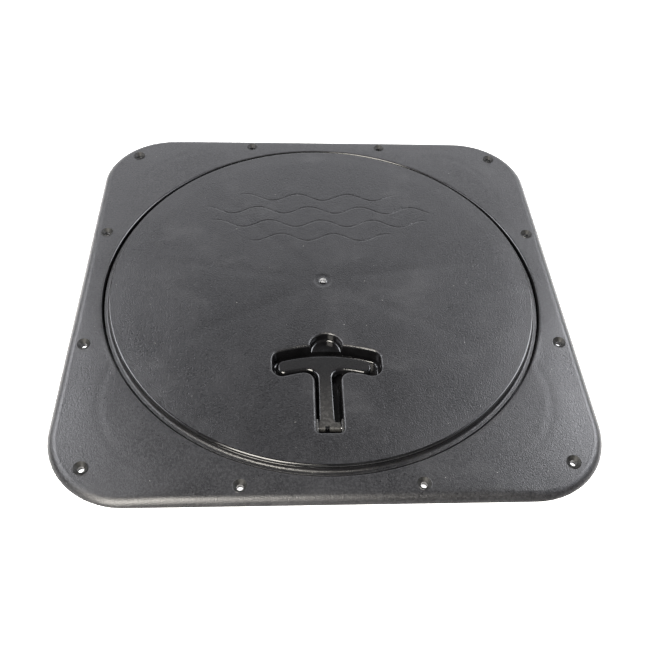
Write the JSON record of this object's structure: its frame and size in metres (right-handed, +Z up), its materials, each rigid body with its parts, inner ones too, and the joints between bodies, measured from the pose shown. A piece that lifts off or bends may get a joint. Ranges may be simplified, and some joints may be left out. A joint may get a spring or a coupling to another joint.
{
  "type": "deck hatch",
  "caption": "Square flush deck hatch: screw-down flange with a round collar, a round press-in lid with a seal, and a T handle that folds flat into a pan in the lid.",
  "frame": {"origin": "centre of the hatch on the deck's surface, which is the underside of the gasket", "axes": "+Z up, out of the deck; the folded handle lies along -Y from the lid's middle; +X to the right when seen from the handle's side"},
  "size_m": [0.381, 0.381, 0.0348],
  "materials": {
    "frame_plastic": "fine grained satin",
    "lid_plastic": "fine grained satin",
    "handle_plastic": "smooth satin",
    "seal_rubber": "smooth",
    "gasket_foam": "closed-cell foam",
    "pin_steel": "ground stainless rod"
  },
  "bodies": {
    "frame": {"deck_frame": "frame_plastic", "deck_gasket": "gasket_foam"},
    "seal": {"lid_seal": "seal_rubber"},
    "lid": {"lid": "lid_plastic", "pin_keepers": "lid_plastic", "handle_pin": "pin_steel"},
    "handle": {"handle": "handle_plastic"}
  },
  "joints": [
    {"name": "lid_lift", "type": "slide", "parent": "frame", "child": "seal", "axis": [0, 0, 1], "range_m": [0, 0.06]},
    {"name": "lid_turn", "type": "hinge", "parent": "seal", "child": "lid", "pos_m": [0, 0, 0], "axis": [0, 0, 1], "continuous": true},
    {"name": "handle_lift", "type": "hinge", "parent": "lid", "child": "handle", "pos_m": [0, -0.1341, 0.004], "axis": [1, 0, 0], "range_deg": [0, 115]}
  ]
}
